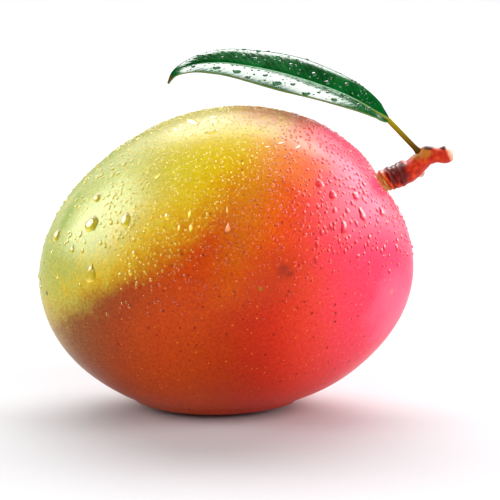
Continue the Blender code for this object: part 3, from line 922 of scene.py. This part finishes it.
draw = random.Random(11)
placed = 0
while placed < SMALL_DROPS:
    direction = Vector((draw.gauss(0, 1), draw.gauss(0, 1), draw.gauss(0, 1))).normalized()
    foot = skin_point(direction)
    x, z = foot.x / MM, foot.z / MM
    toward_stalk = share_between(x, *STALK_SIDE)
    toward_nose = share_between(x, *NOSE_SIDE)
    coarse = share_between(abs(x - MIDDLE), *COARSE_FROM_MIDDLE)
    radius = 0.24 + 0.12 * abs(draw.gauss(0, 1)) + (0.06 + 0.36 * draw.random() ** 2) * coarse
    wet = share_between(z - STALK_SIDE_DRIER * toward_stalk, *WET_HEIGHTS)
    wet *= 0.75 + 0.7 * noise.noise(foot / (9 * MM) + Vector((3, 1, 4)))
    wet *= (1 + 0.1 * toward_stalk) * (1 - NOSE_SIDE_SPARSER * toward_nose)
    if draw.random() > wet:
        continue
    radius = min(radius, LARGEST_SMALL_DROP) * MM
    if (foot - hollow_bottom).length < CLEAR_OF_STALK * MM or not take_room(foot, radius):
        continue
    outward = skin_normal(direction)
    stretch = 1.0 + (0.8 + 0.8 * coarse) * draw.random() ** 2 * (1 - outward.z)
    size = (radius, radius * stretch, radius * 0.5)
    glow = draw.uniform(0.2, 0.95)
    lit = "body" if foot.x < draw.uniform(*WARM_SIDE) * MM else "low"
    skin_drops.add(foot, outward, down_slope(direction, outward), size, 0.1, 0.3, glow=glow, lit=lit)
    placed += 1


def water_finish(name, surface_ior, surface_roughness):
    """Clear water over a surface, whose own colour and soft shine show through under the water's gloss."""
    # The emission carries the drops' painted glow.
    material, shader, place = new_finish(name, IOR=surface_ior, Emission_Strength=1.0)
    under = place.node("ShaderNodeAttribute", {"attribute_name": "under"}, output=1)
    drive(shader, Normal=under, Roughness=surface_roughness + place.noise(1.0, 2) * 0.1)
    gloss_inputs = {"Base Color": WHITE, "Metallic": 1.0, "Roughness": WATER_GLOSS_ROUGHNESS}
    gloss = place.node("ShaderNodeBsdfPrincipled", inputs=gloss_inputs)
    share = place.node("ShaderNodeFresnel", inputs={"IOR": WATER_GLOSS_IOR})
    share = share.math("MINIMUM", share, WATER_GLOSS_MOST)
    both = place.node("ShaderNodeMixShader", inputs={0: share, 1: Paint(shader.outputs[0]), 2: gloss})
    output = material.node_tree.nodes["Material Output"]
    material.node_tree.links.new(both.socket, output.inputs["Surface"])
    return material, shader, place


# How low on a drop a place has to be for painted shade, for a painted glow, and for that glow to turn white
# as a painted highlight.
PAINTED_SHADE_SPAN, PAINTED_SHADE_LEAST, PAINTED_SHADE_MORE = (0.3, -0.5), 0.25, 0.6
PAINTED_GLOW_FROM, PAINTED_GLOW_FULL, PAINTED_HIGHLIGHT_SPAN = 0.25, 0.85, (1.0, 1.8)


def show_through_with_painted_light(shader, colour, glow_tint, strength):
    """Gives drops the colour under them, painted shade at the upper rim and a painted glow low down."""
    low_side = colour.node("ShaderNodeAttribute", {"attribute_name": "low_side"}, output=2)
    painted_shade = low_side.step(*PAINTED_SHADE_SPAN) * PAINTED_SHADE_MORE + PAINTED_SHADE_LEAST
    painted_glow = low_side.ramp((PAINTED_GLOW_FROM, BLACK), (PAINTED_GLOW_FULL, (strength, strength, strength, 1.0)))
    painted_glow = painted_glow.mixed(colour.mixed(glow_tint, 0.32), 1.0, "MULTIPLY")
    painted_glow = painted_glow.mixed(WHITE, low_side.step(*PAINTED_HIGHLIGHT_SPAN))
    drive(shader, Base_Color=colour.mixed(colour, painted_shade, "MULTIPLY"), Emission_Color=painted_glow)


# Drops on the gold of the nose's side gather more of its yellow.
GOLDEN_SIDE, GOLDEN_TURN = (-16, -34), (64, 48)
water, water_shader, water_place = water_finish("water_on_skin", SKIN_IOR, SKIN_ROUGHNESS)
colour, blush, place = skin_colour(water_place)
x, _, z = place.parts()
golden = (x - z * BAND_SLANT).step(*GOLDEN_SIDE) * blush.step(*GOLDEN_TURN)
colour = colour.mixed(shade(222, 200, 6), golden * 0.65)
# The drops get painted shade at their upper rims and a painted glow low down.
show_through_with_painted_light(water_shader, colour, shade(255, 236, 170), 0.75)
skin_beads = skin_drops.finished("skin_drops", water)

# The water on the leaf: fuller drops than on the fruit, with a fine spray between them. They stand on the
# waxy upper side of the blade, clear of its midrib, and show its green. The large ones are listed: along the
# blade, across it with the near half below 0, and half width and half length in mm.
LARGE_LEAF_DROPS = (
    (0.83, 0.62, 1.1, 0.7), (0.78, 0.52, 1.2, 0.6), (0.70, 0.60, 0.9, 0.5), (0.66, 0.82, 0.8, 0.6),
    (0.60, 0.78, 0.8, 0.7), (0.56, 0.90, 0.7, 0.5), (0.61, 0.35, 0.9, 0.7), (0.52, 0.62, 0.8, 0.5),
    (0.46, 0.40, 0.7, 0.6), (0.40, 0.92, 1.0, 0.6), (0.36, 0.30, 0.9, 0.9), (0.30, 0.18, 1.0, 0.8),
    (0.22, 0.45, 0.8, 0.7), (0.86, -0.35, 0.8, 0.7), (0.76, -0.55, 1.3, 0.8), (0.68, -0.62, 1.4, 1.0),
    (0.63, -0.80, 0.9, 0.7), (0.56, -0.45, 1.0, 0.7), (0.51, -0.70, 1.6, 1.1), (0.44, -0.55, 0.9, 0.7),
    (0.38, -0.86, 1.5, 0.8), (0.33, -0.60, 0.8, 0.6), (0.26, -0.75, 1.2, 0.8), (0.15, -0.45, 1.3, 0.8),
    (0.10, -0.25, 0.9, 0.7), (0.20, -0.30, 0.9, 0.6),
)
SMALL_LEAF_DROPS = 260
LEAF_DROP_HEIGHT = 0.62
CLEAR_OF_MIDRIB = 0.9 * MM
STEP_ALONG, STEP_ACROSS = 0.004, 0.02
leaf_drops = Domes()


def wet_leaf(t, side, half_width, half_length, fine):
    """Sets a drop on the blade's upper side, where there is room."""
    place = blade_point(t, side)
    along = blade_point(t + STEP_ALONG, side) - blade_point(t - STEP_ALONG, side)
    across = blade_point(t, side + STEP_ACROSS) - blade_point(t, side - STEP_ACROSS)
    outward = along.cross(across).normalized()
    if outward.z < 0:
        outward.negate()
    down = (Vector((0, 0, -1)) + outward * outward.z).normalized()
    foot = place + outward * BLADE_THICKNESS / 2
    size = (half_width * MM, half_length * MM, LEAF_DROP_HEIGHT * min(half_width, half_length) * MM)
    if take_room(foot, max(half_width, half_length) * MM):
        leaf_drops.add(foot, outward, down, size, 0.1, 0.4, fine)


for t, side, half_width, half_length in LARGE_LEAF_DROPS:
    wet_leaf(t, side, half_width, half_length, True)
for _ in range(SMALL_LEAF_DROPS):
    t, side = draw.uniform(0.06, 0.93), draw.uniform(-0.93, 0.93)
    size = 0.18 + 0.16 * abs(draw.gauss(0, 1))
    if blade_half_width(t) * abs(side) > CLEAR_OF_MIDRIB:
        wet_leaf(t, side, size * draw.uniform(1.0, 1.5), size, False)

leaf_water, leaf_water_shader, place = water_finish("water_on_leaf", LEAF_IOR, 0.2)
colour = (place.noise(3, 3) + 0.5).ramp((0.2, shade(2, 64, 22)), (0.8, shade(10, 96, 36)))
# The leaf's drops get painted shade at their upper rims and a painted glow low down.
show_through_with_painted_light(leaf_water_shader, colour, shade(150, 214, 170), 0.6)
leaf_beads = leaf_drops.finished("leaf_drops", leaf_water)

# The hanging drop: one clear bead of rain that has run down the stalk and hangs under its knee. It clings to
# the bark and is sunk into it a little.
HANGING_REACH_MM, HANGING_OUT = 12.5, 0.97
HANGING_SIZE = (1.2 * MM, 1.4 * MM, 1.1 * MM)
hanging = Domes()
knee_spot = stalk_at(HANGING_REACH_MM)
hanging_way = Vector((0.55, -0.1, -0.83)).normalized()
hanging_foot = knee_spot.xyz + hanging_way * knee_spot[3] * HANGING_OUT
down = Vector((-0.83, 0, -0.55)).normalized()
hanging.add(hanging_foot, hanging_way, down, HANGING_SIZE, ripple=0.2, fine=True)
stalk_water, stalk_water_shader, place = water_finish("water_on_stalk", 1.45, 0.4)
colour = (place.noise(1.5, 3) + 0.5).ramp((0.2, shade(190, 110, 96)), (0.8, shade(240, 214, 206)))
# The hanging drop gets painted shade at its upper rim and a painted glow low down.
show_through_with_painted_light(stalk_water_shader, colour, shade(255, 220, 210), 0.5)
hanging_bead = hanging.finished("hanging_drop", stalk_water)

# The floor: a wide, smooth, pale sheet with a soft sheen. It is plain but for a faint unevenness of its tone,
# and the fruit lies on it.
FLOOR_HALF_WIDTH = 4.0
floor_finish, floor_shader, floor_place = new_finish("floor_white", IOR=1.3, Roughness=0.6)
speckle = floor_place.noise(40, 2) + 0.5
drive(floor_shader, Base_Color=speckle.ramp((0.0, shade(208, 208, 210)), (1.0, shade(213, 213, 215))))
bm = bmesh.new()
bmesh.ops.create_grid(bm, x_segments=1, y_segments=1, size=FLOOR_HALF_WIDTH)
floor = finished_object("floor", bm, floor_finish)


# The light: soft boxes at each side, behind, in front and over the floor bring out the colour. The shine
# comes from glints, which are boxes that show only as shine, each on its own pieces: the fruit and its
# stalk, the leaf, or the water.
def soft_box(name, direction, distance, width, height, radiance, only_on=None):
    """A soft box this way from the fruit, facing it and as bright as its radiance. It gives no shine."""
    lamp = bpy.data.lights.new(name, "AREA")
    lamp.shape = "RECTANGLE"
    lamp.size = width
    lamp.size_y = height
    lamp.energy = math.pi * width * height * radiance
    made = bpy.data.objects.new(name, lamp)
    toward = Vector(direction).normalized()
    made.location = FRUIT_CENTRE + toward * distance
    made.rotation_euler = toward.to_track_quat("Z", "Y").to_euler()
    made.visible_camera = False
    made.visible_glossy = False
    made.light_linking.receiver_collection = only_on
    bpy.context.scene.collection.objects.link(made)
    return made


def glint(name, direction, distance, width, height, radiance, only_on, blocked_by=None):
    """A box that gives only shine, on these pieces. If blocked_by is given, only that is in its way."""
    made = soft_box(name, direction, distance, width, height, radiance, only_on)
    made.visible_glossy = True
    made.visible_diffuse = False
    made.light_linking.blocker_collection = blocked_by


def group(name, *members):
    """A set of things for a light to reach, or for it to be blocked by."""
    made = bpy.data.collections.new(name)
    for member in members:
        made.objects.link(member)
    return made


ROOM_LIGHT = 0.26
ground = group("ground", floor)
beaded = group("beaded", skin_beads, leaf_beads, hanging_bead)
leafy = group("leafy", blade, rib, leaf_beads)
skinned = group("skinned", fruit, stalk, skin_beads, hanging_bead)
fruit_only = group("fruit_only", fruit)
soft_box("left_box", (-0.80, -0.30, 0.42), 0.9, 0.34, 0.44, 7.0)
glint("left_glint", (-0.875, 0.01, 0.484), 0.88, 0.68, 0.56, 26.0, skinned)
soft_box("right_box", (0.84, -0.28, 0.42), 0.9, 0.34, 0.50, 8.2)
glint("right_glint", (0.862, 0.15, 0.43), 0.88, 0.80, 0.48, 16.0, skinned)
glint("right_back_glint", (0.57, 0.50, 0.65), 1.2, 0.84, 0.50, 7.4, skinned, fruit_only)
soft_box("back_sheet", (0.03, 0.69, 0.72), 1.5, 2.8, 0.98, 4.0)
glint("back_glint", (0.11, 0.575, 0.81), 1.5, 1.55, 0.56, 25.0, skinned, fruit_only)
glint("left_back_glint", (-0.50, 0.66, 0.56), 1.2, 0.5, 0.4, 4.5, skinned)
glint("left_rim", (-0.654, 0.727, 0.208), 1.4, 0.9, 0.5, 2.0, skinned)
glint("right_rim", (0.70, 0.70, 0.14), 1.4, 0.9, 0.4, 2.6, skinned)
glint("leaf_glint", (-0.03, 0.63, 0.775), 1.5, 1.46, 0.66, 14.0, leafy)
glint("leaf_edge_glint", (0.22, 0.96, 0.17), 1.5, 1.7, 0.56, 2.5, leafy)
soft_box("front_fill", (0.15, -0.82, 0.57), 2.0, 2.2, 1.4, 1.12)
glint("sparkle", (-0.2, -0.66, 0.72), 0.9, 0.2, 0.3, 24.0, beaded)
soft_box("floor_wash", (0.0, 0.5, 0.87), 2.2, 2.4, 1.6, 2.0, ground)
world = bpy.data.worlds.new("studio")
world.use_nodes = True
background = world.node_tree.nodes["Background"]
background.inputs["Color"].default_value = WHITE
background.inputs["Strength"].default_value = ROOM_LIGHT
bpy.context.scene.world = world
world.cycles_visibility.glossy = False
bpy.context.scene.view_settings.view_transform = "Standard"

# The camera: in front of the fruit, looking down on it a little through a long lens. The frame's width is
# what it takes in at the fruit's centre.
FRAME_WIDTH = 160.45 * MM
SENSOR_MM = 36.0
camera_data = bpy.data.cameras.new("camera")
camera_data.sensor_width = SENSOR_MM
camera_data.lens = SENSOR_MM * CAMERA_DISTANCE / FRAME_WIDTH
camera = bpy.data.objects.new("camera", camera_data)
camera.location = EYE
camera.rotation_euler = INTO_THE_VIEW.to_track_quat("-Z", "Y").to_euler()
bpy.context.scene.collection.objects.link(camera)
bpy.context.scene.camera = camera
